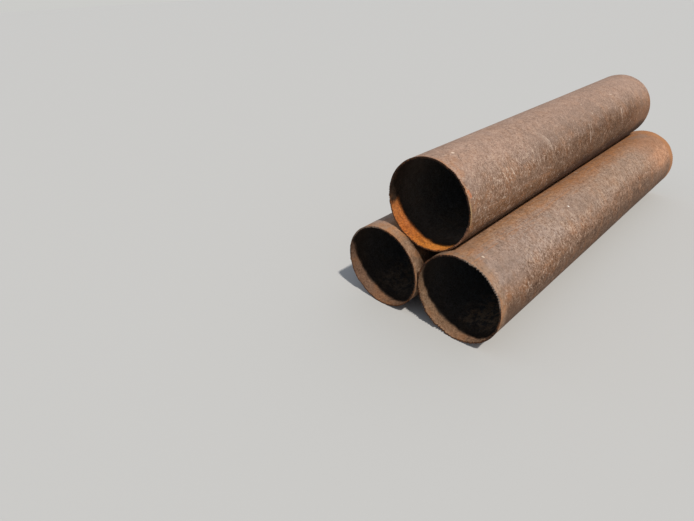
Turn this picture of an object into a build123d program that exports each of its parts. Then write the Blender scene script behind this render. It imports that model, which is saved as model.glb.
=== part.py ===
from build123d import *
from dataclasses import dataclass
from math import sqrt
import os

os.makedirs("parts", exist_ok=True)

# Driving dimensions, in millimetres. The pipes lie along X, with their near mouths on the -X side.

# All three pipes are one size: large, with a thin rolled wall.
OUTER_DIAMETER = 406.4
WALL = 6.35

# Overall length of each pipe, from tip to tip.
TOP_LENGTH = 2100.0
FRONT_LENGTH = 2235.0
BACK_LENGTH = 2200.0

# How far the near tip of each lower pipe stands out past the near tip of the top pipe.
FRONT_LEAD = 44.0
BACK_LEAD = 54.0

# Clearances of the stack: between the two lower pipes, and between the top pipe and each of them.
SIDE_GAP = 0.3
REST_GAP = 0.3

# The ends were cut by hand with a torch, and rust and knocks have taken the sharp edge off each rim.
RIM_WEAR = 1.2
RIM_WEAR_SHARE_OF_WALL = 0.3

# The torch wandered in long shallow waves along the rim, and wavered in short scallops.
WAVE_RADIUS = 260.0
WAVE_DEPTH = 1.6
SCALLOP_RADIUS = 16.0
SCALLOP_DEPTH = 2.2

# Where a cut came round to its own start, it left a narrow notch.
START_NOTCH_RADIUS = 4.0
START_NOTCH_DEPTH = 5.0


@dataclass
class TorchCut:
    """Where the marks of one hand-guided cut lie round its rim.

    The angles, in degrees, run clockwise as seen by someone who faces the mouth, from its left side,
    so that 90 is the top. start is where the torch began, and the others are the middles of the marks.
    """

    start: float
    waves: tuple
    scallops: tuple


TOP_NEAR_CUT = TorchCut(start=145.0, waves=(18.0, 84.0, 166.0, 262.0), scallops=(102.0, 118.0, 196.0, 209.0, 311.0))
TOP_FAR_CUT = TorchCut(start=58.0, waves=(30.0, 129.0, 205.0, 289.0), scallops=(14.0, 96.0, 171.0, 236.0, 318.0))
FRONT_NEAR_CUT = TorchCut(start=67.0, waves=(40.0, 158.0, 243.0), scallops=(95.0, 106.0, 117.0, 129.0, 139.0, 281.0))
FRONT_FAR_CUT = TorchCut(start=301.0, waves=(61.0, 138.0, 255.0), scallops=(35.0, 88.0, 154.0, 222.0, 343.0))
BACK_NEAR_CUT = TorchCut(start=262.0, waves=(25.0, 112.0, 223.0, 300.0), scallops=(41.0, 73.0, 130.0, 187.0, 328.0))
BACK_FAR_CUT = TorchCut(start=112.0, waves=(48.0, 147.0, 261.0), scallops=(8.0, 63.0, 166.0, 229.0, 285.0))

# Sizes that follow from the driving dimensions.
outer_radius = OUTER_DIAMETER / 2
bore_radius = outer_radius - WALL
rim_wear = min(RIM_WEAR, WALL * RIM_WEAR_SHARE_OF_WALL)

# The lower pipes lie side by side on the ground, and the top one lies in the valley between them.
lower_offset = (OUTER_DIAMETER + SIDE_GAP) / 2
lower_height = outer_radius
top_rise = sqrt((OUTER_DIAMETER + REST_GAP) ** 2 - lower_offset**2)
top_height = lower_height + top_rise

# Along X the stack is centred on the origin, so the origin is the middle of its footprint.
near_limit = min(0, -FRONT_LEAD, -BACK_LEAD)
far_limit = max(TOP_LENGTH, FRONT_LENGTH - FRONT_LEAD, BACK_LENGTH - BACK_LEAD)
top_near_x = -(near_limit + far_limit) / 2
front_near_x = top_near_x - FRONT_LEAD
back_near_x = top_near_x - BACK_LEAD


def cut_marks(mouth, angles, radius, depth):
    """Round-bottomed cutters through the wall, one at each angle of a mouth, sunk to one depth.

    Each cutter is a cylinder that lies along the mouth's radius, reaching as far inside the wall as outside.
    """
    with Locations(mouth.offset(depth - radius)):
        for angle in angles:
            with PolarLocations(outer_radius, 1, start_angle=angle):
                Cylinder(radius, outer_radius, rotation=(0, 90, 0))


def torch_cut_pipe(axis_y, axis_z, near_x, length, near_cut, far_cut):
    """One pipe: a ring carried along X, worn at its rims and cut off by hand at both ends."""
    near_mouth = Plane(origin=(near_x, axis_y, axis_z), x_dir=(0, 1, 0), z_dir=(1, 0, 0))
    far_mouth = Plane(origin=(near_x + length, axis_y, axis_z), x_dir=(0, -1, 0), z_dir=(-1, 0, 0))
    with BuildPart() as torch_path:
        for mouth, cut in ((near_mouth, near_cut), (far_mouth, far_cut)):
            cut_marks(mouth, cut.waves, WAVE_RADIUS, WAVE_DEPTH)
            cut_marks(mouth, cut.scallops, SCALLOP_RADIUS, SCALLOP_DEPTH)
            cut_marks(mouth, (cut.start,), START_NOTCH_RADIUS, START_NOTCH_DEPTH)
    with BuildPart() as pipe:
        with BuildSketch(near_mouth):
            Circle(outer_radius)
            Circle(bore_radius, mode=Mode.SUBTRACT)
        extrude(amount=length)
        rims = edges().filter_by(GeomType.CIRCLE)
        chamfer(rims, length=rim_wear)
        add(torch_path.part, mode=Mode.SUBTRACT)
    return pipe


# Lower front pipe
lower_front_pipe = torch_cut_pipe(
    -lower_offset, lower_height, front_near_x, FRONT_LENGTH, FRONT_NEAR_CUT, FRONT_FAR_CUT
)
lower_front_pipe.part.label = "lower_front_pipe"
export_step(lower_front_pipe.part, "parts/lower_front_pipe.step")

# Lower back pipe
lower_back_pipe = torch_cut_pipe(
    lower_offset, lower_height, back_near_x, BACK_LENGTH, BACK_NEAR_CUT, BACK_FAR_CUT
)
lower_back_pipe.part.label = "lower_back_pipe"
export_step(lower_back_pipe.part, "parts/lower_back_pipe.step")

# Top pipe
top_pipe = torch_cut_pipe(0, top_height, top_near_x, TOP_LENGTH, TOP_NEAR_CUT, TOP_FAR_CUT)
top_pipe.part.label = "top_pipe"
export_step(top_pipe.part, "parts/top_pipe.step")
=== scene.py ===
# %% [markdown]
# # A bundle of rusty iron pipes
#
# Three large, thin-walled pipes of one size lie as a loose pyramid: two side by side on the ground and one
# in the valley between them. They are salvaged stock, cut to length by hand with a torch, and rusty all
# over. The packed model is the fixed frame. Each of its three nodes gets a finer surface at the same place,
# and the finishes are built from shader node groups, so that rust, flecks and wear are the same recipe on
# every pipe.

# %% Load the packed pipes
from math import cos, pi, radians, sin

import bpy
import numpy as np
from mathutils import Matrix, Vector


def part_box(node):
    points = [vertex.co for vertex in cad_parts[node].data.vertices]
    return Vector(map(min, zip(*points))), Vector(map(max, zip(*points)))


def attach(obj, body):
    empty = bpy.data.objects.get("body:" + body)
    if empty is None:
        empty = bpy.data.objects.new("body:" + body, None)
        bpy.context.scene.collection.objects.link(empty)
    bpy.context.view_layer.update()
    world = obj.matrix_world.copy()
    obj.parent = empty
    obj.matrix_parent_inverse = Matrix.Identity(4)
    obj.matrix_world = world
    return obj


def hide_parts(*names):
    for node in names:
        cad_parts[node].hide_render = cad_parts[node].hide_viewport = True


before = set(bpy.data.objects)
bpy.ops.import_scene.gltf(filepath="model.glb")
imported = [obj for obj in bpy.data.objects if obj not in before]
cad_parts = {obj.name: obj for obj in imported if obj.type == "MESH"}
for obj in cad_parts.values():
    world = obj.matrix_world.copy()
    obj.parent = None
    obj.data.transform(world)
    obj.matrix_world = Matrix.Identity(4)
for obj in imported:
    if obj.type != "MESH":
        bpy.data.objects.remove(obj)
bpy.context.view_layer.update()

print("nodes:", sorted(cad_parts))

# %% [markdown]
# ## Where each pipe lies
#
# A pipe is a plain tube, so its axis, its ends and its outside radius all follow from its node's box. Only
# the wall can't be told from the box: it is 6.35 mm, as on standard pipe of this size. A place round a pipe
# is told by a clock angle in degrees: 0 is the +Y side, 90 the top, 180 the -Y side and 270 the bottom.
# Someone who faces the near mouths sees it run clockwise from the left.

# %% Measure the pipes
WALL = 0.00635

NODES = ("lower_front_pipe", "lower_back_pipe", "top_pipe")


def lie_of(node):
    """Near end, length, axis and outside radius of a pipe, read from its node's box."""
    low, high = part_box(node)
    return {
        "near_x": low.x,
        "length": high.x - low.x,
        "axis_y": (low.y + high.y) / 2,
        "axis_z": (low.z + high.z) / 2,
        "radius": min(high.y - low.y, high.z - low.z) / 2,
    }


lies = {node: lie_of(node) for node in NODES}
for node, lie in lies.items():
    print(node, {name: round(value, 4) for name, value in lie.items()})

# %% [markdown]
# ## The outline of a hand-cut rim
#
# Each pipe was cut through by hand with a torch. The cut wandered in long shallow waves, wavered in short
# scallops, and left a narrow notch where it came round to its own start. The outline of a rim is therefore
# a depth: how far in from the pipe's tip the metal begins, at each clock angle. Every mark is a circle's
# arc, and where marks overlap the deeper one wins, as it does for a flame. Modelling the marks in the
# outline, not as bump, keeps them in the silhouette. Seen facing a far mouth the angles run the other way,
# so they are turned.

# %% The marks of each cut
WAVE = {"round": 0.260, "depth": 0.0016}
SCALLOP = {"round": 0.016, "depth": 0.0022}
START_NOTCH = {"round": 0.004, "depth": 0.005}

CUTS = {
    "top_pipe": {
        "near": {"start": 145, "waves": (18, 84, 166, 262), "scallops": (102, 118, 196, 209, 311)},
        "far": {"start": 58, "waves": (30, 129, 205, 289), "scallops": (14, 96, 171, 236, 318)},
    },
    "lower_front_pipe": {
        "near": {"start": 67, "waves": (40, 158, 243), "scallops": (95, 106, 117, 129, 139, 281)},
        "far": {"start": 301, "waves": (61, 138, 255), "scallops": (35, 88, 154, 222, 343)},
    },
    "lower_back_pipe": {
        "near": {"start": 262, "waves": (25, 112, 223, 300), "scallops": (41, 73, 130, 187, 328)},
        "far": {"start": 112, "waves": (48, 147, 261), "scallops": (8, 63, 166, 229, 285)},
    },
}


def clocks_of(mouth, angles):
    """The clock angles of marks that are told as someone facing that mouth sees them."""
    return [angle if mouth == "near" else 180 - angle for angle in angles]


def arc_marks(clock, middles, shape, radius):
    """Depth of like marks: sqrt(round^2 - s^2) - (round - depth), where s = radius sin(clock - middle)."""
    turned = clock[:, None] - np.radians(middles)
    across = radius * np.sin(turned)
    inside = (np.abs(across) < shape["round"]) & (np.cos(turned) > 0)
    sag = np.sqrt(np.clip(shape["round"] ** 2 - across**2, 0, None)) - (shape["round"] - shape["depth"])
    return np.where(inside, np.clip(sag, 0, None), 0).max(axis=1)


for node, cuts in CUTS.items():
    print(node, {mouth: len(cut["waves"]) + len(cut["scallops"]) + 1 for mouth, cut in cuts.items()}, "marks")

# %% [markdown]
# ## The teeth of the cut
#
# The flame also pulsed, and each pulse left a small tooth with a round bite beside it. On the front pipe
# they are longest, because the torch was held loosest there. Once, on the top pipe's near rim, the whole
# cut ran askew for a while before it came back. These lie on top of the marks above, as the finest part of
# the outline.

# %% Teeth, and the depth of a whole cut
# Waves round the rim (at least, and fewer than), the length of a tooth, and how ragged the rim is.
TEETH = {
    "top_pipe": {"turns": (45, 90), "height": 0.0062, "ragged": 0.62},
    "lower_front_pipe": {"turns": (34, 70), "height": 0.0090, "ragged": 0.80},
    "lower_back_pipe": {"turns": (45, 90), "height": 0.0062, "ragged": 0.62},
}
# A bite is at its full depth where its wave is this many spreads high, and the power makes its floor round.
FULL_BITE, BITE_ROUNDNESS = 1.3, 0.8
# Raggedness comes and goes over a few broad waves round the rim: by how much, and the most it can drop.
BROAD_TURNS, RAGGED_SWING, RAGGED_DROP = (2, 9), 0.3, 0.4


def rim_waves(clock, turns, rng, count=24):
    """Added waves round the rim, each with a whole number of turns, in units of their own spread."""
    counts = rng.integers(*turns, count)
    waves = np.cos(clock[:, None] * counts + rng.uniform(0, 2 * pi, count)).sum(axis=1)
    return waves / waves.std()


def teeth(clock, seed, shape):
    """The small teeth of a pulsing flame: sharp tips, with round bites between them.

    A wave's size without its sign has a sharp dip to 0 wherever it changes sign, and there a tooth stays at
    full length. Between the dips the metal is bitten away, deeper in some stretches than in others.
    """
    rng = np.random.default_rng(seed)
    bites = np.minimum(np.abs(rim_waves(clock, shape["turns"], rng)) / FULL_BITE, 1) ** BITE_ROUNDNESS
    swung = shape["ragged"] + RAGGED_SWING * rim_waves(clock, BROAD_TURNS, rng)
    return shape["height"] * bites * np.clip(swung, shape["ragged"] - RAGGED_DROP, 1)


def turn_from(clock, middle):
    """The signed turn from a middle given in degrees to each clock angle, the short way round, in radians."""
    return np.angle(np.exp(1j * (clock - radians(middle))))


# Where a cut ran askew for a while: the middle and half the width of the arc, in degrees, and its depth.
ASKEW = {("top_pipe", "near"): (194, 40, 0.0042)}


def askew_cut(clock, node, mouth):
    """A shallow bite, depth (1 + cos(turn / half width x 180)) / 2 in its arc; a straight cut has none."""
    middle, half, depth = ASKEW.get((node, mouth), (0, 1, 0))
    share = np.clip(np.degrees(turn_from(clock, middle)) / half, -1, 1)
    return depth * (1 + np.cos(share * pi)) / 2


def cut_depth(clock, node, mouth, seed):
    """How far in from the tip the metal begins: the deepest mark or tooth there, and the askew bite."""
    cut = CUTS[node][mouth]
    radius = lies[node]["radius"]
    marks = [
        arc_marks(clock, clocks_of(mouth, cut["waves"]), WAVE, radius),
        arc_marks(clock, clocks_of(mouth, cut["scallops"]), SCALLOP, radius),
        arc_marks(clock, clocks_of(mouth, (cut["start"],)), START_NOTCH, radius),
        teeth(clock, seed, TEETH[node]),
    ]
    return np.max(marks, axis=0) + askew_cut(clock, node, mouth)


SEEDS = {"top_pipe": 11, "lower_front_pipe": 23, "lower_back_pipe": 37}
every_half_degree = np.linspace(0, 2 * pi, 720, endpoint=False)
for node in NODES:
    depth = cut_depth(every_half_degree, node, "near", SEEDS[node])
    print(node, "near rim: from", round(depth.min() * 1000, 2), "to", round(depth.max() * 1000, 2), "mm in")

# %% [markdown]
# ## The pipe as one closed surface
#
# A pipe's section is a closed loop: out along the outer wall, round the far rim, back along the bore and
# round the near rim. Carried round the axis it closes again, so the whole pipe is one sheet with two
# directions and no seam: clock angle round it, and place along the loop. A solid with a Screw modifier
# could do the same, but here every row can follow the torch marks, and rows can crowd where the shape needs
# them. The rims are worn, so each edge is a quarter circle.

# %% Rows of the loop
EDGE_WEAR = 0.0012
OUTER_ROWS, BORE_ROWS, EDGE_ROWS, FACE_ROWS = 44, 38, 4, 3
CROWDING = 2.4
ON_WALL, ON_RIM, IN_BORE = 0, 1, 2


def crowded(start, stop, count):
    """Places between two ends, crowded at both: middle + half (tanh(k t) / tanh(k)), with t from -1 to 1."""
    t = np.linspace(-1, 1, count)
    return (start + stop) / 2 + (stop - start) / 2 * np.tanh(CROWDING * t) / np.tanh(CROWDING)


def edge_arc(along, radius, from_angle):
    """A quarter circle of worn edge round a middle, its own ends left out; angles as on a plain graph."""
    angles = np.radians(np.linspace(from_angle, from_angle - 90, EDGE_ROWS + 2)[1:-1])
    return along + EDGE_WEAR * np.cos(angles), radius + EDGE_WEAR * np.sin(angles)


def loop_rows(length, radius):
    """Along, radius and part of every row of the closed section; a part is the wall, a rim or the bore."""
    bore = radius - WALL
    low, high = EDGE_WEAR, length - EDGE_WEAR
    face = np.linspace(radius - EDGE_WEAR, bore + EDGE_WEAR, FACE_ROWS + 2)
    pieces = [
        (crowded(low, high, OUTER_ROWS), np.full(OUTER_ROWS, radius), ON_WALL),
        (*edge_arc(high, radius - EDGE_WEAR, 90), ON_RIM),
        (np.full(len(face), length), face, ON_RIM),
        (*edge_arc(high, bore + EDGE_WEAR, 0), ON_RIM),
        (crowded(high, low, BORE_ROWS), np.full(BORE_ROWS, bore), IN_BORE),
        (*edge_arc(low, bore + EDGE_WEAR, 270), ON_RIM),
        (np.zeros(len(face)), face[::-1], ON_RIM),
        (*edge_arc(low, radius - EDGE_WEAR, 180), ON_RIM),
    ]
    along = np.concatenate([piece[0] for piece in pieces])
    radii = np.concatenate([piece[1] for piece in pieces])
    part = np.concatenate([np.full(len(piece[0]), piece[2]) for piece in pieces])
    return along, radii, part


print("rows round the section:", len(loop_rows(lies["top_pipe"]["length"], lies["top_pipe"]["radius"])[0]))

# %% Columns round the pipe
COLUMNS = 900
NOTCH_SPREAD, NOTCH_DENSITY = radians(1.6), 5
FINE_STEPS = 14401


def columns_of(node):
    """Clock angles of the columns, drawn closer together where the two narrow start notches are.

    Their density is 1 + 5 exp(-(turn / spread)^2) for each notch; equal shares of its sum give the angles.
    """
    fine = np.linspace(0, 2 * pi, FINE_STEPS)
    density = np.ones_like(fine)
    for mouth, cut in CUTS[node].items():
        turn = turn_from(fine, clocks_of(mouth, (cut["start"],))[0])
        density += NOTCH_DENSITY * np.exp(-((turn / NOTCH_SPREAD) ** 2))
    share = np.concatenate([[0], np.cumsum((density[1:] + density[:-1]) / 2)])
    return np.interp(np.linspace(0, share[-1], COLUMNS + 1)[:-1], share, fine)


steps = np.degrees(np.diff(columns_of("top_pipe")))
print(COLUMNS, "columns,", round(steps.min(), 3), "to", round(steps.max(), 3), "degrees apart")

# %% [markdown]
# ## Relief of wall, bore and lip
#
# Old pipe isn't true. The wall has slight dents as wide as a hand and is rough with scale. The bore is
# rougher, and a crust of scale and blown earth lies along its low side. Beads of dross hang on the inner
# edge of every cut, where the flame left molten metal. The outer wall only ever gives way inwards, so the
# surface stays inside the packed pipe's box. All of it is added waves with whole turns round the pipe, so
# nothing has a seam.

# %% Relief
REACH_OF_CUT = 0.08
# Relief: its height, the most turns that its waves have, and their length along the pipe, in metres.
DENTS = {"height": 0.0009, "turns": 6, "length": 0.7}
SCALE = {"height": 0.0007, "turns": 70, "length": 0.03}
LUMPS = {"turns": 60, "length": 0.04, "from": 0.45}
# Dross is there only where its ripples are high: the swing and the power make few, pointed beads.
DROSS = {
    "height": 0.0032, "turns": 130, "length": 1.0, "reach": 0.006, "swing": 2.4, "power": 1.5, "from": 0.4,
}
# The outer wall is half as scaly as the bore, and relief fades out this near a rim.
WALL_SHARE_OF_SCALE, CALM_BY_RIM = 0.5, 0.012
# Where the crust lies in each bore: the middle and the spread of its arc, in degrees, and its height.
CRUSTS = {
    "top_pipe": {"clock": 262, "spread": 40, "height": 0.003},
    "lower_front_pipe": {"clock": 240, "spread": 48, "height": 0.011},
    "lower_back_pipe": {"clock": 275, "spread": 40, "height": 0.006},
}


def ripples(clock, along, seed, shape, count=28):
    """Smooth seamless relief from 0 to 1: added waves, each with a whole number of turns round the pipe."""
    rng = np.random.default_rng(seed)
    each = (count, 1, 1)
    around = rng.integers(0, shape["turns"], each)
    lengthwise = rng.uniform(-2 * pi, 2 * pi, each) / shape["length"]
    waves = np.cos(around * clock + lengthwise * along[:, None] + rng.uniform(0, 2 * pi, each)).sum(axis=0)
    return (waves - waves.min()) / np.ptp(waves)


def pipe_surface(node):
    """Points, rows' places and parts, and columns' angles of one pipe's closed surface.

    A point is at x = near end + along + the two cut depths faded out, y = axis + r cos(clock) and
    z = axis + r sin(clock), where r is the row's radius less the wall's slight dents or the bore's crust, and
    less the beads of dross that the flame left along the inner edge.
    """
    lie, seed, crust = lies[node], SEEDS[node], CRUSTS[node]
    along, radii, part = loop_rows(lie["length"], lie["radius"])
    clock = columns_of(node)
    from_near, from_far = along, lie["length"] - along
    fade_near = np.clip(1 - from_near / REACH_OF_CUT, 0, 1) ** 2
    fade_far = np.clip(1 - from_far / REACH_OF_CUT, 0, 1) ** 2
    x = (
        lie["near_x"]
        + along[:, None]
        + fade_near[:, None] * cut_depth(clock, node, "near", seed)
        - fade_far[:, None] * cut_depth(clock, node, "far", seed + 1)
    )
    dents = DENTS["height"] * ripples(clock, along, seed + 2, DENTS)
    scale = SCALE["height"] * ripples(clock, along, seed + 3, SCALE)
    lumps = np.clip(ripples(clock, along, seed + 4, LUMPS) - LUMPS["from"], 0, None)
    low_side = np.exp(-((turn_from(clock, crust["clock"]) / radians(crust["spread"])) ** 2))
    gives = np.where((part == ON_WALL)[:, None], dents + scale * WALL_SHARE_OF_SCALE, 0)
    gives = gives + np.where((part == IN_BORE)[:, None], scale + crust["height"] * lumps * low_side, 0)
    from_rim = np.minimum(from_near, from_far)
    settled = np.clip(from_rim / CALM_BY_RIM, 0, 1)[:, None]
    swung = DROSS["swing"] * ripples(clock, np.zeros(1), seed + 5, DROSS)
    pointed = np.clip(swung - 1, 0, 1) ** DROSS["power"]
    into_wall = (lie["radius"] - radii) / WALL
    inner_side = np.clip((into_wall - DROSS["from"]) / (1 - DROSS["from"]), 0, 1)
    hung = inner_side * np.exp(-((from_rim / DROSS["reach"]) ** 2))
    r = radii[:, None] - gives * settled - hung[:, None] * DROSS["height"] * pointed
    points = np.stack([x, lie["axis_y"] + r * np.cos(clock), lie["axis_z"] + r * np.sin(clock)], axis=-1)
    return points, along, part, clock


surfaces = {node: pipe_surface(node) for node in NODES}
for node, (points, *_) in surfaces.items():
    lowest = round(points[..., 2].min() * 1000, 2)
    print(node, "rows and columns:", points.shape[:2], "lowest point:", lowest, "mm up")

# %% [markdown]
# ## From points to a mesh
#
# Every four neighbouring points make a quad, and both directions close on themselves. The mesh carries its
# own map, metres along the pipe and turns round it, and how far each point is from a rim. The finishes read
# both, so a mark on a pipe stays at its place in metres and degrees. A face between two parts belongs to
# the rim.

# %% Meshes of the pipes


def closed_sheet(name, points, along, part, clock):
    """A mesh of quads, closed in both directions, with its own map and how far a point is from a rim."""
    rows, columns = points.shape[:2]
    r, c = np.meshgrid(np.arange(rows), np.arange(columns), indexing="ij")
    r2, c2 = (r + 1) % rows, (c + 1) % columns
    corners = [r * columns + c, r * columns + c2, r2 * columns + c2, r2 * columns + c]
    quads = np.stack(corners, axis=-1).reshape(-1, 4)
    mesh = bpy.data.meshes.new(name)
    mesh.from_pydata(points.reshape(-1, 3), [], quads)
    mesh.polygons.foreach_set("use_smooth", np.ones(len(quads), bool))
    face_part = np.where(part == np.roll(part, -1), part, ON_RIM)
    mesh.polygons.foreach_set("material_index", np.repeat(face_part, columns))
    turn = np.append(clock, clock[0] + 2 * pi) / (2 * pi)
    corners = [(r, c), (r, c + 1), (r2, c + 1), (r2, c)]
    uv = np.stack([np.stack([along[row], turn[column]], -1) for row, column in corners], axis=2)
    mesh.uv_layers.new(name="along_and_turn").data.foreach_set("uv", uv.astype(np.float32).ravel())
    lip = np.repeat(np.minimum(along, along.max() - along), columns).astype(np.float32)
    mesh.attributes.new("from_rim", "FLOAT", "POINT").data.foreach_set("value", lip)
    mesh.validate()
    return mesh


meshes = {node: closed_sheet(node + "_rusty", *surface) for node, surface in surfaces.items()}
print("quads:", {mesh.name: len(mesh.polygons) for mesh in meshes.values()})

# %% Lay the three pipes


def volume_of(mesh):
    """Volume inside a closed mesh: a sixth of the sum of every triangle's corners' triple product."""
    mesh.calc_loop_triangles()
    corners = np.empty(len(mesh.loop_triangles) * 3, np.int32)
    mesh.loop_triangles.foreach_get("vertices", corners)
    places = np.empty(len(mesh.vertices) * 3, np.float32)
    mesh.vertices.foreach_get("co", places)
    a, b, c = np.moveaxis(places.reshape(-1, 3)[corners.reshape(-1, 3)].astype(float), 1, 0)
    return np.einsum("ij,ij->i", a, np.cross(b, c)).sum() / 6


pipes = {}
for node, mesh in meshes.items():
    pipe = bpy.data.objects.new(node + "_rusty", mesh)
    bpy.context.scene.collection.objects.link(pipe)
    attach(pipe, "root")
    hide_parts(node)
    pipes[node] = pipe
    litres = round(volume_of(mesh) * 1000, 2)
    print(pipe.name, len(mesh.loop_triangles), "triangles, iron:", litres, "litres")

# %% [markdown]
# ## A bench for building shader groups
#
# Every effect below is a node group: a recipe with named inputs and outputs, made once and placed in each
# finish with its own values. A group puts out only colours, masks and heights, and the shader itself stays in
# the material. On the bench a sum or a product of two values is a node too, so a recipe reads as a formula.

# %% The bench
class Value:
    """What a socket gives; its sums, differences and products are made as nodes on its bench."""

    def __init__(self, bench, socket):
        self.bench = bench
        self.socket = socket

    def __add__(self, other):
        return self.bench.math("ADD", self, other)

    def __sub__(self, other):
        return self.bench.math("SUBTRACT", self, other)

    def __rsub__(self, other):
        return self.bench.math("SUBTRACT", other, self)

    def __mul__(self, other):
        return self.bench.math("MULTIPLY", self, other)

    def __abs__(self):
        return self.bench.math("ABSOLUTE", self)

    def step(self, low, high):
        """A soft step: 0 below low and 1 above high."""
        return self.bench.remap(self, low, high, 0.0, 1.0, interpolation_type="SMOOTHSTEP")

    def swing(self, low, high):
        """A brightness factor that goes from low to high as a grain goes from 0.25 to 0.75."""
        return self.bench.remap(self, 0.25, 0.75, low, high, clamp=False)

    def sway(self, reach):
        """A grain turned into a shift to both sides: (grain - 0.5) x reach."""
        return (self - 0.5) * reach


class Bench:
    """Adds nodes to one tree and joins them: a value is linked to a socket, a plain number is set on it."""

    def __init__(self, tree):
        self.tree = tree

    def feed(self, socket, value):
        if isinstance(value, Value):
            self.tree.links.new(value.socket, socket)
        elif socket.type == "RGBA":
            socket.default_value = (*value, 1.0)
        else:
            socket.default_value = value

    def node(self, kind, inputs, **settings):
        made = self.tree.nodes.new("ShaderNode" + kind)
        for name, value in settings.items():
            setattr(made, name, value)
        for name, value in inputs.items():
            self.feed(made.inputs[name], value)
        return made

    def value(self, kind, inputs, out=0, **settings):
        """One output of a new node."""
        return Value(self, self.node(kind, inputs, **settings).outputs[out])

    def math(self, operation, *values, clamp=False):
        return self.value("Math", dict(enumerate(values)), operation=operation, use_clamp=clamp)

    def vector(self, operation, first, second, out="Vector"):
        return self.value("VectorMath", {0: first, 1: second}, out, operation=operation)

    def scaled(self, vector, scale):
        return self.value("VectorMath", {0: vector, "Scale": scale}, operation="SCALE")

    def remap(self, value, from_low, from_high, low, high, **settings):
        inputs = {"Value": value, "From Min": from_low, "From Max": from_high, "To Min": low, "To Max": high}
        return self.value("MapRange", inputs, **settings)

    def blend(self, share, first, second, how="MIX"):
        """A colour that goes from first to second by share."""
        inputs = {"Factor": share, "A": first, "B": second}
        return self.value("Mix", inputs, "Result", data_type="RGBA", blend_type=how)

    def place(self, group, **inputs):
        """A group placed in this tree: its outputs by name. An input is named with _ for a space."""
        inputs = {name.replace("_", " "): value for name, value in inputs.items()}
        made = self.node("Group", inputs, node_tree=group)
        return {socket.name: Value(self, socket) for socket in made.outputs}

    def give(self, **outputs):
        """What the group on this bench puts out, named in the same way."""
        result = self.tree.nodes.new("NodeGroupOutput").inputs
        for name, value in outputs.items():
            self.feed(result[name.replace("_", " ")], value)
        print("group", self.tree.name, "gives", ", ".join(outputs))


def group(name, inputs, outputs):
    """A new node group, its bench and its inputs; a tuple, or the name Colour, makes a colour's socket."""
    tree = bpy.data.node_groups.new(name, "ShaderNodeTree")
    for label, default in inputs.items():
        colour = isinstance(default, tuple)
        kind = "NodeSocketColor" if colour else "NodeSocketFloat"
        socket = tree.interface.new_socket(label, in_out="INPUT", socket_type=kind)
        socket.default_value = (*default, 1.0) if colour else default
    for label in outputs:
        kind = "NodeSocketColor" if label == "Colour" else "NodeSocketFloat"
        tree.interface.new_socket(label, in_out="OUTPUT", socket_type=kind)
    bench = Bench(tree)
    given = {socket.name: Value(bench, socket) for socket in tree.nodes.new("NodeGroupInput").outputs}
    return tree, bench, given


print("the bench can:", ", ".join(name for name in vars(Bench) if not name.startswith("_")))

# %% [markdown]
# ## Where on the pipe a point is
#
# Rust follows gravity and contact: it runs down the flanks, sits in the valley where pipes touch, and burns
# orange along the rims. So each finish has to know how far along the pipe a point is, how far it is turned
# from the top, and how near a rim. The mesh's map holds the first two, and an attribute holds the third.

# %% Group: where_on_pipe
where_on_pipe, bench, given = group("where_on_pipe", {"Hand": 1.0}, ["Along", "Clock", "Turn", "From Rim"])
own_map = bench.value("UVMap", {}, uv_map="along_and_turn")
along_here, turns_here = (bench.value("SeparateXYZ", {"Vector": own_map}, axis) for axis in "XY")
clock_here = turns_here * 360.0
from_top = bench.math("FLOORED_MODULO", clock_here + 90.0, 360.0) - 180.0
from_rim = bench.value("Attribute", {}, "Fac", attribute_name="from_rim")
bench.give(Along=along_here, Clock=clock_here, Turn=from_top * given["Hand"], From_Rim=from_rim)

# %% [markdown]
# ## Grain and flecks
#
# The rust is grainy at every size: broad clouds, mottles a few centimetres wide, spots, and short crooked
# lines where the crust has cracked and lifted, most of them running round the pipe. Noise on object
# coordinates has no seam on a closed pipe. Stretching it equally in Y and Z, and not in X, makes its grain
# run round the pipe. A spot is where the grain is high, and a line is where it crosses its middle value.

# %% Group: round_grain
round_grain, bench, given = group(
    "round_grain", {"Size Along": 0.02, "Size Round": 0.04, "Detail": 3.0, "Seed": 0.0}, ["Grain"]
)
around = given["Size Round"]
sizes = bench.value("CombineXYZ", {"X": given["Size Along"], "Y": around, "Z": around})
stretched = bench.vector("DIVIDE", bench.value("TexCoord", {}, "Object"), sizes)
moved = bench.vector("ADD", stretched, given["Seed"])
looks = {"Vector": moved, "Scale": 1.0, "Detail": given["Detail"], "Roughness": 0.6}
bench.give(Grain=bench.value("TexNoise", looks))


def grain(bench, along, around, detail, seed):
    """Grain from 0 to 1: the size of its cells along the pipe and round it in metres, its detail and seed."""
    return bench.place(round_grain, Size_Along=along, Size_Round=around, Detail=detail, Seed=seed)["Grain"]


# %% Group: spots
# Grain keeps between about 0.3 and 0.72, so a spot's edge lies there, from no cover at all to full cover.
NO_COVER, FULL_COVER = 0.72, 0.30

spots, bench, given = group(
    "spots", {"Size Along": 0.008, "Size Round": 0.012, "Cover": 0.2, "Softness": 0.08, "Seed": 0.0}, ["Mask"]
)
high = grain(bench, given["Size Along"], given["Size Round"], 3.0, given["Seed"])
edge = NO_COVER - given["Cover"] * (NO_COVER - FULL_COVER)
bench.give(Mask=high.step(edge, edge + given["Softness"]))


def spotted(bench, along, around, cover, softness, seed):
    """Spots of the same sizes as a grain's, covering so much, with edges so soft."""
    sizes = {"Size_Along": along, "Size_Round": around}
    return bench.place(spots, **sizes, Cover=cover, Softness=softness, Seed=seed)["Mask"]


# %% Group: crust_lines
# The share of a line's width, or of a stroke's, that is covered in full before its edge fades out.
FULL_CORE = 0.3

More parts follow.
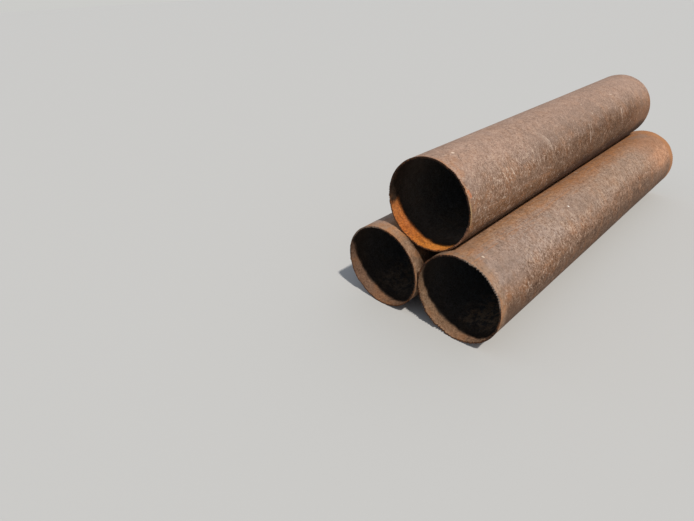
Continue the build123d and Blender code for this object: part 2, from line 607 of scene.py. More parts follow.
crust_lines, bench, given = group(
    "crust_lines",
    {"Size Along": 0.014, "Size Round": 0.034, "Width": 0.03, "Cover": 0.4, "Seed": 0.0},
    ["Mask"],
)
crossing = grain(bench, given["Size Along"], given["Size Round"], 2.0, given["Seed"])
line = 1 - abs(crossing - 0.5).step(given["Width"] * FULL_CORE, given["Width"])
bench.give(Mask=line * spotted(bench, 0.016, 0.022, given["Cover"], 0.10, given["Seed"] + 31.0))


def lined(bench, along, around, width, cover, seed):
    """Crust lines where grain of this size crosses its middle value."""
    sizes = {"Size_Along": along, "Size_Round": around}
    return bench.place(crust_lines, **sizes, Width=width, Cover=cover, Seed=seed)["Mask"]


# %% [markdown]
# ## Bands and strokes
#
# A band is a stretch of turn from the top, such as the rusty strip beside a contact, and its edges waver. A
# stroke is one mark that something left: a scrape, a scratch, a run of water or a drop of lime. It is a line
# between two places on the pipe, and its mask is the distance to that line, roughened by grain.

# %% Group: band
band, bench, given = group(
    "band", {"Turn": 0.0, "Middle": 0.0, "Half Width": 10.0, "Softness": 6.0, "Waver": 0.0}, ["Mask"]
)
off_middle = abs(given["Turn"] + given["Waver"] - given["Middle"])
bench.give(Mask=1 - off_middle.step(given["Half Width"], given["Half Width"] + given["Softness"]))


def banded(bench, turn, arc, waver=0.0):
    """A band; its arc is the middle, half the width, and how softly it ends, in degrees."""
    middle, half, soft = arc
    return bench.place(band, Turn=turn, Middle=middle, Half_Width=half, Softness=soft, Waver=waver)["Mask"]


# %% Group: stroke
PLACES = ("Along", "Clock", "From Along", "From Clock", "To Along", "To Clock")
stroke, bench, given = group(
    "stroke", {**dict.fromkeys(PLACES, 0.0), "Half Width": 0.003, "Fray": 0.5, "Radius": 0.2}, ["Mask"]
)


def unrolled(which):
    """A place on the unrolled wall, in metres: along, and clock angle times the radius."""
    arc = bench.math("RADIANS", given[which + "Clock"]) * given["Radius"]
    return bench.value("CombineXYZ", {"X": given[which + "Along"], "Y": arc, "Z": 0.0})


start = unrolled("From ")
reach = bench.vector("SUBTRACT", unrolled("To "), start)
to_point = bench.vector("SUBTRACT", unrolled(""), start)
length_squared = bench.math("MAXIMUM", bench.vector("DOT_PRODUCT", reach, reach, "Value"), 1e-8)
ahead = bench.vector("DOT_PRODUCT", to_point, reach, "Value")
nearest = bench.scaled(reach, bench.math("DIVIDE", ahead, length_squared, clamp=True))
away = bench.vector("DISTANCE", to_point, nearest, "Value")
frayed = grain(bench, 0.006, 0.006, 2.0, 5.0).sway(4.0) * given["Fray"]
reached = (frayed + 1.0) * given["Half Width"]
covered = 1 - away.step(reached * FULL_CORE, reached)
gaps = grain(bench, 0.009, 0.012, 2.0, 8.0)
bench.give(Mask=covered * (1 - (1 - gaps.step(0.46, 0.60)) * given["Fray"]))

# %% [markdown]
# ## The rusted skin
#
# Old rust on iron is layered. A smooth brown film lies over the mill scale, with clouds of greyer and warmer
# tone. Through it break pale tan flecks where the crust has lifted, dark pits where it has fallen away, and
# orange blooms where it is still wet and active. The group lays these over the ground tone of the place, each
# with its own amount. It also puts out roughness, higher on crust than on film, and a height for bump.

# %% Group: rusted_skin
TAN, PIT, ORANGE = (0.51, 0.375, 0.287), (0.066, 0.042, 0.029), (0.36, 0.158, 0.064)
# Factors on the ground tone: in a greyer cloud, in a warmer patch, and by how much a worn grain is paler.
GREYER, WARMER, BLEACHED = (0.93, 0.975, 1.03), (1.12, 1.02, 0.92), (0.82, 1.0, 1.17)
# Each grain's size along the pipe and round it in metres, its detail, and what is added to the skin's seed.
SKIN_GRAINS = {
    "cloud": (0.30, 0.18, 4.0, 0.0), "patch": (0.09, 0.10, 3.0, 3.0), "mottle": (0.028, 0.034, 5.0, 0.0),
    "hair": (0.005, 0.10, 3.0, 0.0), "grit": (0.0065, 0.0075, 2.0, 0.0), "speckle": (0.014, 0.017, 2.0, 29.0),
    "blotch": (0.05, 0.055, 1.0, 5.0),
}

rusted_skin, bench, given = group(
    "rusted_skin",
    {
        "Ground": (0.27, 0.18, 0.13), "Fleck Amount": 0.5, "Bloom Amount": 0.2, "Pit Amount": 0.5,
        "Cloud Amount": 1.0, "Grit Amount": 1.0, "Speckle Amount": 0.3, "Seed": 0.0,
    },
    ["Colour", "Roughness", "Height"],
)
seed = given["Seed"]
cloud, patch, mottle, hair, grit, speckle, blotch = (
    grain(bench, *sizes, seed + shift) for *sizes, shift in SKIN_GRAINS.values()
)

toned = bench.blend(cloud.step(0.44, 0.58) * given["Cloud Amount"], given["Ground"], GREYER, "MULTIPLY")
toned = bench.blend(patch.step(0.50, 0.64) * given["Cloud Amount"], toned, WARMER, "MULTIPLY")
light = mottle.swing(0.78, 1.22) * hair.swing(0.92, 1.08) * cloud.swing(0.90, 1.10)
worn = grit.sway(2.5) * given["Grit Amount"] + speckle.sway(1.9) * given["Speckle Amount"]
grain_light = bench.vector("ADD", bench.scaled(BLEACHED, worn), (1.0, 1.0, 1.0))
grain_light = bench.vector("MAXIMUM", grain_light, (0.1, 0.1, 0.1))
lit = bench.vector("MULTIPLY", bench.scaled(toned, light), grain_light)

bloom_mask = blotch.step(0.42, 0.66) * patch.step(0.38, 0.60) * given["Bloom Amount"]
lines = lined(bench, 0.014, 0.030, 0.032, 0.62, seed) * 0.70
fine_lines = lined(bench, 0.009, 0.016, 0.038, 0.44, seed + 11.0) * 0.65
small_spots = spotted(bench, 0.0055, 0.0105, 0.29, 0.08, seed + 7.0) * 0.85
lifted = bench.math("MAXIMUM", lines, bench.math("MAXIMUM", fine_lines, small_spots))
gathered = patch.swing(0.45, 1.35) * (mottle.step(0.46, 0.60) * 1.10 + 0.50)
fleck_mask = bench.math("MULTIPLY", lifted, gathered * given["Fleck Amount"], clamp=True)
pit_mask = spotted(bench, 0.007, 0.009, 0.36, 0.08, seed + 19.0) * given["Pit Amount"] * (1 - fleck_mask)
flecked = bench.blend(fleck_mask, bench.blend(bloom_mask, lit, ORANGE), TAN)
bench.give(
    Colour=bench.blend(pit_mask * 0.7, flecked, PIT),
    Roughness=bench.math("ADD", mottle * 0.16 + 0.72, fleck_mask * 0.08 + bloom_mask * 0.06, clamp=True),
    Height=fleck_mask * 0.45 + mottle * 0.55 + grit * 0.25 - pit_mask * 0.45,
)

# %% [markdown]
# ## Tones of the walls
#
# From the top down, a wall goes from smooth pinkish-brown film, where rain washes it, to browner patina, and
# to dark damp iron below, darkened further as painted shade. The top pipe's flank farther on and its
# underside are painted shade, and so is every contact, where the tones go nearly black. Rust lies orange
# beside every contact, because water stays there. The top pipe is alike on both flanks. Each lower pipe has
# an outer and an inner side, so turn is counted towards its outer side. A wall has three rows of tones, for
# the near mouth, farther on, and the far end. Each row is a colour ramp over turn, which is plainer than a
# mask for every band, and they are blended along the pipe.

# %% Ground tones
FILM, PATINA, BROWN = (0.312, 0.204, 0.152), (0.250, 0.163, 0.120), (0.205, 0.114, 0.070)
# The deep tone is painted shade where pipes touch, and the damp tone is damp iron darkened as painted shade.
DAMP_AND_SHADE, CONTACT_SHADE, EARTHY = (0.118, 0.064, 0.038), (0.062, 0.033, 0.018), (0.105, 0.073, 0.048)
MAUVE, HEATHER, ROSY = (0.272, 0.180, 0.128), (0.276, 0.193, 0.151), (0.298, 0.155, 0.089)
RUST, EMBER, FOXY = (0.318, 0.170, 0.094), (0.335, 0.145, 0.055), (0.390, 0.170, 0.068)
TAWNY, UMBER, PEACH = (0.330, 0.186, 0.107), (0.278, 0.130, 0.061), (0.388, 0.200, 0.114)
# The dusk tone is painted shade on the top pipe's flank farther on.
RUSSET, CHESTNUT, FAR_FLANK_SHADE = (0.238, 0.141, 0.093), (0.200, 0.100, 0.055), (0.117, 0.056, 0.028)
# The sooty tone is painted shade under the top pipe by its near mouth.
SEPIA, UNDERSIDE_SHADE, OPEN_END = (0.168, 0.077, 0.034), (0.060, 0.030, 0.0145), (0.262, 0.160, 0.100)
# Both are painted shade under the top pipe farther on, down to its contact.
LOW_FLANK_SHADE, GAP_SHADE = (0.110, 0.050, 0.022), (0.048, 0.019, 0.008)

# What a row shows: degrees of turn, with the tone there. The hidden ends of the lower rows are alike.
# Painted shade in a lower row: the contact with the top pipe near -30 degrees, and partly the darkening past
# 60.
LOWER_SHOWS = (
    (
        (-30, CONTACT_SHADE), (-24, EMBER), (-15, RUST), (-4, TAWNY), (9, HEATHER), (50, HEATHER), (68, BROWN),
        (82, DAMP_AND_SHADE),
    ),
    (
        (-31, CONTACT_SHADE), (-25, FOXY), (-14, UMBER), (-2, UMBER), (20, MAUVE), (46, MAUVE), (62, BROWN),
        (80, DAMP_AND_SHADE),
    ),
    (
        (-31, CONTACT_SHADE), (-24, FOXY), (-10, UMBER), (2, UMBER), (14, ROSY), (32, ROSY), (46, PEACH), (64, PEACH),
        (80, BROWN),
    ),
)
# At -95 degrees, where the two lower pipes touch, the tone is painted shade.
LOWER_TONES = [((-180, EARTHY), (-95, CONTACT_SHADE), *row, (110, DAMP_AND_SHADE), (180, EARTHY)) for row in LOWER_SHOWS]
# Past about 100 degrees the top rows darken into painted shade under the pipe and in its contacts.
TOP_TONES = (
    (
        (36, FILM), (50, PATINA), (70, BROWN), (86, BROWN), (98, SEPIA), (109, SEPIA), (117, UNDERSIDE_SHADE),
        (150, CONTACT_SHADE), (180, DAMP_AND_SHADE),
    ),
    (
        (30, FILM), (48, PATINA), (69, FAR_FLANK_SHADE), (90, FAR_FLANK_SHADE), (99, LOW_FLANK_SHADE), (110, GAP_SHADE), (122, GAP_SHADE), (150, CONTACT_SHADE),
        (180, DAMP_AND_SHADE),
    ),
    (
        (48, FILM), (64, RUSSET), (80, CHESTNUT), (100, CHESTNUT), (112, CONTACT_SHADE), (150, CONTACT_SHADE), (180, DAMP_AND_SHADE),
    ),
)


def tone_ramp(turn, stops):
    """The ground tone by turn from the top: colours at given degrees, from -180 to 180, blended between."""
    bench = turn.bench
    made = bench.node("ValToRGB", {"Fac": bench.math("DIVIDE", turn + 180.0, 360.0)})
    ramp = made.color_ramp
    while len(ramp.elements) < len(stops):
        ramp.elements.new(0.5)
    for element, (degrees_turned, tone) in zip(ramp.elements, stops):
        element.position = (degrees_turned + 180) / 360
        element.color = (*tone, 1.0)
    return Value(bench, made.outputs["Color"])


print("tones in the rows, lower and top:", [len(row) for row in (*LOWER_TONES, *TOP_TONES)])

# %% [markdown]
# ## Marks on the walls
#
# Handling left its traces: scrapes where a pipe was dragged over another, a hook's scratch, runs of lime
# where water dripped from above, and single drops. Each is one stroke at its own place, as on real pipes.
# A scatter would be quicker, but then no mark would be where it is. Those on the hidden sides are made up.

# %% Marks
LIME, CREAM, CHALK = (0.86, 0.78, 0.70), (0.70, 0.56, 0.44), (0.46, 0.345, 0.27)
SLATE, SMOKE, SOOT = (0.235, 0.160, 0.120), (0.170, 0.118, 0.092), (0.06, 0.035, 0.024)
BLISTER, OCHRE = (0.50, 0.165, 0.065), (0.37, 0.245, 0.115)

# Each mark: what it is, its tone and strength, from where to where (metres along, clock degrees), half its
# width in metres, and how broken it is. A later mark lies over an earlier one.
MARKS = {
    "top_pipe": (
        ("drop", CREAM, 0.85, (0.112, 98.5), (0.113, 99.5), 0.0075, 0.1),
        ("hook scratch", SOOT, 0.75, (0.119, 105), (0.101, 110), 0.0026, 0.2),
        ("hook scratch", SOOT, 0.75, (0.101, 110), (0.094, 116), 0.0020, 0.2),
        ("blister", BLISTER, 0.80, (0.016, 149), (0.022, 155), 0.0110, 0.3),
        ("rusty lip", ORANGE, 0.60, (0.008, 188), (0.040, 199), 0.0150, 0.6),
        ("yellow lip", OCHRE, 0.75, (0.003, 163), (0.004, 188), 0.0100, 0.2),
        ("seeping rust", ORANGE, 0.40, (0.130, 178), (0.290, 181), 0.0120, 0.9),
        ("seeping rust", ORANGE, 0.40, (0.430, 179), (0.680, 182), 0.0130, 0.9),
        ("scratch", CHALK, 0.60, (0.103, 176), (0.232, 179.5), 0.0030, 0.8),
        ("smoky cloud", SMOKE, 0.42, (0.600, 134), (1.300, 126), 0.0900, 0.5),
        ("broad scrape", CHALK, 0.30, (0.660, 122), (0.706, 141), 0.0170, 0.6),
        ("broad scrape", CHALK, 0.30, (0.706, 141), (0.712, 160), 0.0170, 0.6),
        ("scrape", CHALK, 0.60, (0.684, 128), (0.714, 141), 0.0045, 0.6),
        ("scrape", CHALK, 0.60, (0.714, 141), (0.716, 154), 0.0045, 0.6),
        ("run", CHALK, 0.70, (1.152, 147), (1.142, 172), 0.0080, 0.8),
        ("run", CHALK, 0.55, (1.178, 148), (1.172, 164), 0.0070, 0.9),
        ("run", CHALK, 0.70, (1.606, 148), (1.597, 171), 0.0090, 0.8),
        ("run", CHALK, 0.30, (1.634, 152), (1.630, 161), 0.0070, 0.9),
        ("short run", CHALK, 0.55, (0.583, 149), (0.582, 164), 0.0065, 0.9),
        ("drop", CREAM, 0.55, (1.228, 113.5), (1.229, 114.5), 0.0055, 0.3),
        ("drop", CREAM, 0.55, (1.602, 119), (1.604, 120.5), 0.0070, 0.3),
        ("drop", CREAM, 0.55, (1.249, 134), (1.250, 135.5), 0.0060, 0.3),
        ("crown scratch", CHALK, 0.55, (1.607, 81), (1.647, 75.5), 0.0042, 0.5),
        ("crown scratch", CHALK, 0.55, (1.653, 81), (1.720, 74.5), 0.0042, 0.5),
        ("crown drop", CREAM, 0.50, (1.590, 85), (1.592, 86), 0.0060, 0.3),
        ("drop", CREAM, 0.45, (0.560, 160), (0.561, 161), 0.0055, 0.3),
        ("hidden scrape", CHALK, 0.30, (0.420, 48), (0.540, 30), 0.0070, 0.9),
        ("hidden run", CHALK, 0.35, (1.310, 30), (1.318, 8), 0.0080, 0.9),
    ),
    "lower_front_pipe": (
        ("smoky cloud", SMOKE, 0.42, (0.110, 136), (0.260, 140), 0.0900, 0.5),
        ("smoky cloud", SMOKE, 0.36, (0.820, 120), (0.980, 130), 0.0900, 0.5),
        ("drop", CREAM, 0.75, (0.081, 105), (0.082, 106), 0.0066, 0.1),
        ("white drop", LIME, 0.95, (0.785, 117.2), (0.786, 117.8), 0.0058, 0.1),
        ("fresh rust", ORANGE, 0.55, (0.080, 65), (0.170, 71), 0.0200, 0.9),
        ("fresh rust", ORANGE, 0.45, (0.260, 66), (0.330, 72), 0.0160, 0.9),
        ("fresh rust", ORANGE, 0.40, (0.760, 68), (0.860, 74), 0.0150, 0.9),
        ("fresh rust", ORANGE, 0.45, (1.560, 66), (1.760, 71), 0.0180, 0.9),
        ("pale row", CHALK, 0.35, (0.540, 122), (0.760, 121), 0.0035, 0.9),
        ("pale row", CHALK, 0.35, (0.600, 127), (0.820, 127), 0.0035, 0.9),
        ("pale row", CHALK, 0.30, (0.500, 133), (0.700, 132), 0.0035, 0.9),
        ("drop", CREAM, 0.60, (1.200, 75), (1.203, 78), 0.0060, 0.5),
        ("hidden run", CHALK, 0.30, (1.420, 132), (1.412, 158), 0.0080, 0.9),
        ("hidden scrape", CHALK, 0.30, (1.700, 150), (1.840, 158), 0.0060, 0.9),
        ("bare patch", SLATE, 0.60, (2.000, 84), (2.110, 94), 0.0420, 0.3),
    ),
    "lower_back_pipe": (
        ("hidden drop", CREAM, 0.70, (0.420, 62), (0.423, 64), 0.0060, 0.3),
        ("hidden scrape", CHALK, 0.30, (1.020, 40), (1.100, 22), 0.0070, 0.9),
        ("hidden run", CHALK, 0.35, (1.640, 36), (1.648, 10), 0.0080, 0.9),
    ),
}


def marked(bench, node, where, colour):
    """The colour of a wall with its marks laid over it, one after another."""
    here = {"Along": where["Along"], "Clock": where["Clock"], "Radius": lies[node]["radius"]}
    for _, tone, strength, start, stop, half_width, fray in MARKS[node]:
        begins = {"From_Along": start[0], "From_Clock": start[1]}
        ends = {"To_Along": stop[0], "To_Clock": stop[1]}
        mark = bench.place(stroke, **here, **begins, **ends, Half_Width=half_width, Fray=fray)["Mask"]
        colour = bench.blend(mark * strength, colour, tone)
    return colour


for node, marks in MARKS.items():
    print(node, "has", len(marks), "marks:", ", ".join(sorted({name for name, *_ in marks})))

# %% [markdown]
# ## The outer walls
#
# A wall is the ground tones, the rusted skin over them, the marks and an orange lip. Flecks gather on the
# flanks, where the sun lifts the crust, and thin out along the pipe. The near mouths are worn bare, the front
# pipe's most of all, and the far ends are calm. A lower pipe's open end, out from under the top pipe, is
# browner, and beside the contact water has left runs and fresh orange rust.

# %% Finishes of the walls
# flecks: the arc where they gather; fleck_base: how many lie elsewhere; bare_mouth: how much is worn off by
# the near mouth; calm_end: the same at the far end, over end_reach metres; lip, far_lip: how orange they are.
LOWER_WALL = {"tones": LOWER_TONES, "both": False, "bloom": 0.10, "end_reach": 0.56, "far_lip": 0.72}
WALLS = {
    "top_pipe": {
        "tones": TOP_TONES, "both": True, "bloom": 0.05, "end_reach": 0.42, "far_lip": 0.0, "hand": 1,
        "flecks": (74, 28, 22), "fleck_base": 0.46, "grit": 0.60, "speckles": 0.35, "bare_mouth": 0.1,
        "calm_end": 0.45, "lip": 0.65,
    },
    "lower_front_pipe": {
        **LOWER_WALL, "hand": 1, "flecks": (60, 18, 18), "fleck_base": 0.36, "grit": 0.66, "speckles": 1.0,
        "bare_mouth": 0.6, "calm_end": 0.40, "lip": 0.35,
    },
    "lower_back_pipe": {
        **LOWER_WALL, "hand": -1, "flecks": (50, 24, 18), "fleck_base": 0.40, "grit": 0.70, "speckles": 0.8,
        "bare_mouth": 0.3, "calm_end": 0.30, "lip": 0.50,
    },
}
# The broad grain that makes edges waver, by so many degrees round the pipe, and the grain of thin runs.
BROAD_GRAIN, TURN_WAVER, RUN_GRAIN = (0.16, 0.09, 4.0), 34.0, (0.12, 0.0075, 3.0)
# Arcs beside the contact, in degrees from the top: where pale runs show, rusty ones, and where rust blooms.
PALE_RUNS, RUSTY_RUNS, BLOOM_ARC = (-12, 10, 16), (2, 8, 14), (-12, 6, 22)
END_BLEND, DULL, RELIEF = 0.34, 0.15, 0.0016


def new_finish(name):
    """A material, and the bench for its nodes."""
    material = bpy.data.materials.new(name)
    material.use_nodes = True
    return material, Bench(material.node_tree)


def join_shader(bench, colour, roughness, height, relief):
    """Join a skin to the material's own shader; its height becomes bump, up to relief metres high."""
    bump = bench.value("Bump", {"Height": height, "Distance": relief, "Strength": 1.0})
    looks = {"Base Color": colour, "Roughness": roughness, "Normal": bump, "Specular IOR Level": DULL}
    for name, value in looks.items():
        bench.feed(bench.tree.nodes["Principled BSDF"].inputs[name], value)


def beside_contact(bench, ground, where, turn, waver, seed):
    """A lower wall's ground with its browner open end, and the runs beside the contact."""
    ground = bench.blend((1 - where["From Rim"].step(0.030, 0.065)) * 0.75, ground, OPEN_END)
    runs = grain(bench, *RUN_GRAIN, seed)
    pale = runs.step(0.50, 0.60) * banded(bench, turn, PALE_RUNS, waver)
    rusty = (1 - runs.step(0.36, 0.48)) * banded(bench, turn, RUSTY_RUNS, waver)
    return bench.blend(rusty * 0.45, bench.blend(pale * 0.45, ground, PATINA), EMBER)


def wall_finish(node, wall):
    """The outer wall: ground tones by turn, the rusted skin, the marks, and an orange lip at each rim."""
    material, bench = new_finish(node + "_wall")
    seed = float(SEEDS[node])
    where = bench.place(where_on_pipe, Hand=wall["hand"])
    turn = abs(where["Turn"]) if wall["both"] else where["Turn"]
    broad = grain(bench, *BROAD_GRAIN, seed)
    waver = broad.sway(TURN_WAVER)
    wavered = turn + waver

    def beyond(wander, low, high):
        """How far a change along the pipe has come, from 0 to 1, with an edge that wanders."""
        return (where["Along"] + broad.sway(wander)).step(low, high)

    end_from = lies[node]["length"] - wall["end_reach"]
    farther_on, at_end = beyond(1.2, 0.25, 1.25), beyond(0.3, end_from, end_from + END_BLEND)
    by_mouth, farther, end = (tone_ramp(wavered, row) for row in wall["tones"])
    ground = bench.blend(at_end, bench.blend(farther_on, by_mouth, farther), end)

    calm = 1 - at_end * wall["calm_end"]
    worn_through = (1 - (1 - beyond(0.5, 0.06, 0.30)) * wall["bare_mouth"]) * calm
    gathering = banded(bench, turn, wall["flecks"], waver) * 0.85 + wall["fleck_base"]
    flecks = (1 - farther_on * 0.60) * gathering
    flank = abs(wavered).step(30.0, 75.0)
    near_rim = 1 - where["From Rim"].step(0.01, 0.16)
    blooming = (near_rim * 0.35 + wall["bloom"]) * calm * calm
    if not wall["both"]:
        ground = beside_contact(bench, ground, where, turn, waver, seed)
        blooming = blooming + banded(bench, turn, BLOOM_ARC, waver) * 0.35
    skin = bench.place(
        rusted_skin, Ground=ground, Seed=seed, Pit_Amount=0.60, Bloom_Amount=blooming,
        Fleck_Amount=flecks * worn_through,
        Cloud_Amount=(flank * 1.1 + 0.30) * calm,
        Grit_Amount=(flank * 0.72 + wall["grit"]) * worn_through,
        Speckle_Amount=(flank * 0.45 + 0.70) * wall["speckles"] * worn_through,
    )

    lip_edge = where["From Rim"] + broad.sway(0.03)
    far_half = where["Along"].step(1.0, 1.2)
    near_lip = (1 - lip_edge.step(0.002, 0.024)) * broad.step(0.38, 0.62) * (1 - far_half) * wall["lip"]
    far_lip = (1 - lip_edge.step(0.035, 0.085)) * far_half * wall["far_lip"]
    colour = bench.blend(near_lip + far_lip, marked(bench, node, where, skin["Colour"]), ORANGE)
    join_shader(bench, colour, skin["Roughness"], skin["Height"], RELIEF)
    return material


wall_finishes = {node: wall_finish(node, WALLS[node]) for node in NODES}
print("wall finishes:", [finish.name for finish in wall_finishes.values()])

# %% [markdown]
# ## The bores
#
# Inside, the iron is nearly black with old damp scale, darkened further as painted shade, and painted shade
# makes it blackest by the cut. Only near the mouth, where air and light rain come in, does it rust through:
# bright orange in the top pipe, and a dull brown in the lower ones, whose floors hold a crust of scale and
# blown earth.
# The rust is laid only on the crescent that the sun lights, so the rusty lip is partly real rust and partly
# painted light: it is deepest on the sun's side, and shallower by 0.05 (1 - cos(turn from that side)) metres.

# %% Finishes of the bores
# mouth: tones of the rusty lip at clock angles less 180; lit: its arc, on the sunlit crescent; dark: the
# scale further in, darkened as painted shade; depth: where the lip fades out, in metres.
BORES = {
    "top_pipe": {
        "mouth": (
            (75, (0.63, 0.215, 0.033)), (98, (0.390, 0.122, 0.018)), (130, (0.345, 0.096, 0.019)),
            (155, (0.38, 0.124, 0.031)),
        ),
        "lit": (288, 54, 10), "dark": (0.066, 0.052, 0.041), "depth": (0.062, 0.085), "crust": 0.12,
    },
    "lower_front_pipe": {
        "mouth": ((90, (0.180, 0.102, 0.060)), (160, (0.165, 0.098, 0.057))),
        "lit": (292, 80, 30), "dark": (0.040, 0.034, 0.030), "depth": (0.052, 0.076), "crust": 0.70,
    },
    "lower_back_pipe": {
        "mouth": ((90, (0.150, 0.080, 0.046)), (160, (0.125, 0.070, 0.045))),
        "lit": (285, 80, 30), "dark": (0.036, 0.030, 0.026), "depth": (0.052, 0.076), "crust": 0.35,
    },
}
# The last of these tones is painted shade: near-black by the cut, outside the sunlit crescent.
CRUST_TONE, DUSTY, SHADED_LIP = (0.25, 0.165, 0.098), (0.095, 0.098, 0.095), (0.018, 0.011, 0.007)
# The crescent that the sun lights in a mouth: the clock angle that faces the sun, and how it shortens away.
SUN_CLOCK, SUNLIT_SHORTENED = 301.0, 0.05
BORE_GRAIN, CRUMBS = (0.05, 0.05, 5.0), (0.030, 0.024, 4.0)


def bore_finish(node, bore):
    """The bore: dark scale and painted shade, rust laid on the sunlit crescent by the mouth, and a crust on
    its floor.
    """
    material, bench = new_finish(node + "_bore")
    seed = SEEDS[node] + 3.0
    where = bench.place(where_on_pipe, Hand=1.0)
    from_rim = where["From Rim"]
    # Clock angles counted from 90 to 450, so that no arc of the bore's low half breaks at 0.
    around = bench.math("FLOORED_MODULO", where["Clock"] - 90.0, 360.0) + 90.0
    unsteady = grain(bench, *BORE_GRAIN, seed)
    # The rust follows the sunlit crescent: real rust, laid there as painted light.
    shallower = 1 - bench.math("COSINE", bench.math("RADIANS", where["Clock"] - SUN_CLOCK))
    by_mouth = 1 - (from_rim + shallower * SUNLIT_SHORTENED + unsteady.sway(0.05)).step(*bore["depth"])
    rust_on_sunlit_crescent = by_mouth * banded(bench, around, bore["lit"], unsteady.sway(30.0))
    # The scale's tone, near-black by the cut, is partly painted shade.
    scaly = bench.blend(from_rim.step(0.03, 0.16), SHADED_LIP, bore["dark"])
    scaly = bench.blend(from_rim.step(0.10, 0.60), scaly, DUSTY)
    ground = bench.blend(rust_on_sunlit_crescent, scaly, tone_ramp(around - 180.0, bore["mouth"]))
    middle, spread = CRUSTS[node]["clock"], CRUSTS[node]["spread"]
    floor_arc = banded(bench, around, (middle, spread * 0.5, spread * 0.6), unsteady.sway(60.0))
    heaped = from_rim.step(0.05, 0.20) * grain(bench, *CRUMBS, seed).step(0.40, 0.58)
    skin = bench.place(
        rusted_skin, Ground=bench.blend(floor_arc * bore["crust"] * heaped, ground, CRUST_TONE), Seed=seed,
        Fleck_Amount=by_mouth * 0.05 + 0.03, Bloom_Amount=by_mouth * 0.20, Pit_Amount=0.70, Cloud_Amount=0.8,
    )
    join_shader(bench, skin["Colour"], skin["Roughness"], skin["Height"], RELIEF)
    return material


bore_finishes = {node: bore_finish(node, BORES[node]) for node in NODES}
print("bore finishes:", [finish.name for finish in bore_finishes.values()])

# %% [markdown]
# ## The torch-cut rims
#
# The cut faces are the roughest metal of all. The flame left drag lines across the wall's thickness, and they
# have rusted to a dark brown, more orange on the low side, where water hangs. One stretch of each rim has
# weathered: it is pink on the top pipe, and pale on the lower ones.

# %% Finishes of the rims
RIM_BROWN, RIM_ORANGE = (0.034, 0.015, 0.008), (0.150, 0.058, 0.022)
PINK_EDGE, PALE_EDGE = (0.22, 0.105, 0.062), (0.26, 0.19, 0.145)
PATCH_GRAIN, DRAG_GRAIN = (0.03, 0.035, 4.0), (0.01, 0.0028, 2.0)
LOW_SIDE, RIM_RELIEF = (285, 60, 30), 0.0012
# How orange the low side is, and the weathered stretch: its arc, its tone and its strength.
RIMS = {
    "top_pipe": (0.8, (208, 12, 10), PINK_EDGE, 0.75),
    "lower_front_pipe": (0.25, (128, 28, 16), PALE_EDGE, 0.85),
    "lower_back_pipe": (0.4, (60, 20, 20), PALE_EDGE, 0.5),
}


def rim_finish(node, low_rust, weathered_arc, weathered_tone, strength):
    """The cut face: brown iron, orange patches, one weathered stretch, and drag lines as bump."""
    material, bench = new_finish(node + "_rim")
    seed = SEEDS[node] + 9.0
    clock = bench.place(where_on_pipe, Hand=1.0)["Clock"]
    patches = grain(bench, *PATCH_GRAIN, seed).step(0.50, 0.62) * 0.6
    rusting = bench.math("MAXIMUM", patches, banded(bench, clock, LOW_SIDE) * low_rust)
    ground = bench.blend(rusting, RIM_BROWN, RIM_ORANGE)
    ground = bench.blend(banded(bench, clock, weathered_arc) * strength, ground, weathered_tone)
    amounts = {"Fleck_Amount": 0.06, "Bloom_Amount": 0.0, "Pit_Amount": 0.5, "Cloud_Amount": 0.0}
    skin = bench.place(rusted_skin, Ground=ground, Seed=seed, **amounts)
    height = skin["Height"] + grain(bench, *DRAG_GRAIN, seed)
    join_shader(bench, skin["Colour"], skin["Roughness"], height, RIM_RELIEF)
    return material


rim_finishes = {node: rim_finish(node, *RIMS[node]) for node in NODES}
print("rim finishes:", [finish.name for finish in rim_finishes.values()])

# %% Put the finishes on
for node, pipe in pipes.items():
    for finishes in (wall_finishes, rim_finishes, bore_finishes):
        pipe.data.materials.append(finishes[node])
    print(pipe.name, [material.name for material in pipe.data.materials])

# %% [markdown]
# ## Floor, light and camera
#
# The pile stands on a plain pale floor. A small bright sun, high over the front and a little towards the
# near mouths, throws the bright crescents inside them, and an even pale sky fills the shade. The camera
# stands where the picture was taken from: its place, heading, tilt and slight roll are real angles and
# metres in the pipes' own frame.

# %% Floor
FLOOR_REACH, FLOOR_TONE, FLOOR_ROUGHNESS = 60.0, (0.45, 0.445, 0.435, 1), 0.9

floor_mesh = bpy.data.meshes.new("floor")
corners = [(x * FLOOR_REACH, y * FLOOR_REACH, 0) for x, y in ((-1, -1), (1, -1), (1, 1), (-1, 1))]
floor_mesh.from_pydata(corners, [], [(0, 1, 2, 3)])
floor = bpy.data.objects.new("floor", floor_mesh)
bpy.context.scene.collection.objects.link(floor)
pale = bpy.data.materials.new("pale_floor")
pale.use_nodes = True
pale.node_tree.nodes["Principled BSDF"].inputs["Base Color"].default_value = FLOOR_TONE
pale.node_tree.nodes["Principled BSDF"].inputs["Roughness"].default_value = FLOOR_ROUGHNESS
floor_mesh.materials.append(pale)
print("floor:", 2 * FLOOR_REACH, "metres wide")

# %% Light
KEY_DIRECTION = Vector((-0.166, -0.504, 0.848)).normalized()
KEY_SOFTNESS = radians(3.0)
KEY_STRENGTH = 3.4
KEY_COLOUR = (1.0, 0.955, 0.88)
SKY_COLOUR, SKY_STRENGTH = (0.80, 0.88, 1.0), 0.5
BACKDROP_COLOUR = (0.60, 0.60, 0.58)

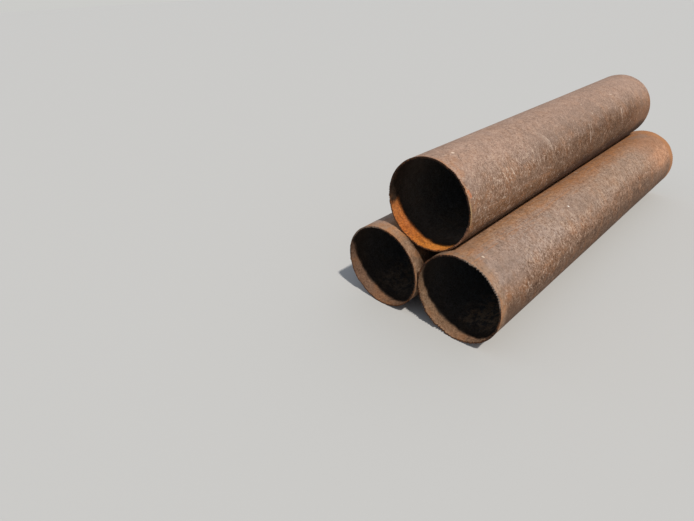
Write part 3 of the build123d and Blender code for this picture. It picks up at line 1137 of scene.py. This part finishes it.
key = bpy.data.objects.new("key_light", bpy.data.lights.new("key_light", "SUN"))
key.data.angle = KEY_SOFTNESS
key.data.energy = KEY_STRENGTH
key.data.color = KEY_COLOUR
key.rotation_mode = "QUATERNION"
key.rotation_quaternion = (-KEY_DIRECTION).to_track_quat("-Z", "Y")
bpy.context.scene.collection.objects.link(key)

# The sky lights the pipes, but the camera sees a plain backdrop in its place.
sky = bpy.data.worlds.new("pale_sky")
sky.use_nodes = True
bench = Bench(sky.node_tree)
sky_light = sky.node_tree.nodes["Background"]
bench.feed(sky_light.inputs["Color"], SKY_COLOUR)
bench.feed(sky_light.inputs["Strength"], SKY_STRENGTH)
backdrop = bench.value("Background", {"Color": BACKDROP_COLOUR, "Strength": 1.0})
seen = bench.value("LightPath", {}, "Is Camera Ray")
shown = bench.value("MixShader", {0: seen, 1: Value(bench, sky_light.outputs[0]), 2: backdrop})
bench.feed(sky.node_tree.nodes["World Output"].inputs["Surface"], shown)
bpy.context.scene.world = sky
bpy.context.scene.view_settings.view_transform = "Standard"
print("sun over the pile:", round(90 - np.degrees(KEY_DIRECTION.angle(Vector((0, 0, 1)))), 1), "degrees high")

# %% Camera
CAMERA_PLACE = Vector((-2.5003, -1.0249, 1.3539))
HEADING, TILT, ROLL = radians(46.52), radians(31.03), radians(-2.66)
LENS, SENSOR, VIEW_REACH = 24.10, 36.0, 200

ahead = Vector((cos(TILT) * cos(HEADING), cos(TILT) * sin(HEADING), -sin(TILT)))
level = ahead.cross(Vector((0, 0, 1))).normalized()
above = level.cross(ahead)
right = cos(ROLL) * level + sin(ROLL) * above
upright = cos(ROLL) * above - sin(ROLL) * level

camera = bpy.data.objects.new("camera", bpy.data.cameras.new("camera"))
camera.data.lens = LENS
camera.data.sensor_width = SENSOR
camera.data.clip_end = VIEW_REACH
rows = [(right[axis], upright[axis], -ahead[axis], CAMERA_PLACE[axis]) for axis in range(3)]
camera.matrix_world = Matrix((*rows, (0, 0, 0, 1)))
bpy.context.scene.collection.objects.link(camera)
bpy.context.scene.camera = camera
print("camera:", round(CAMERA_PLACE.length, 2), "metres from the middle of the pile's foot")
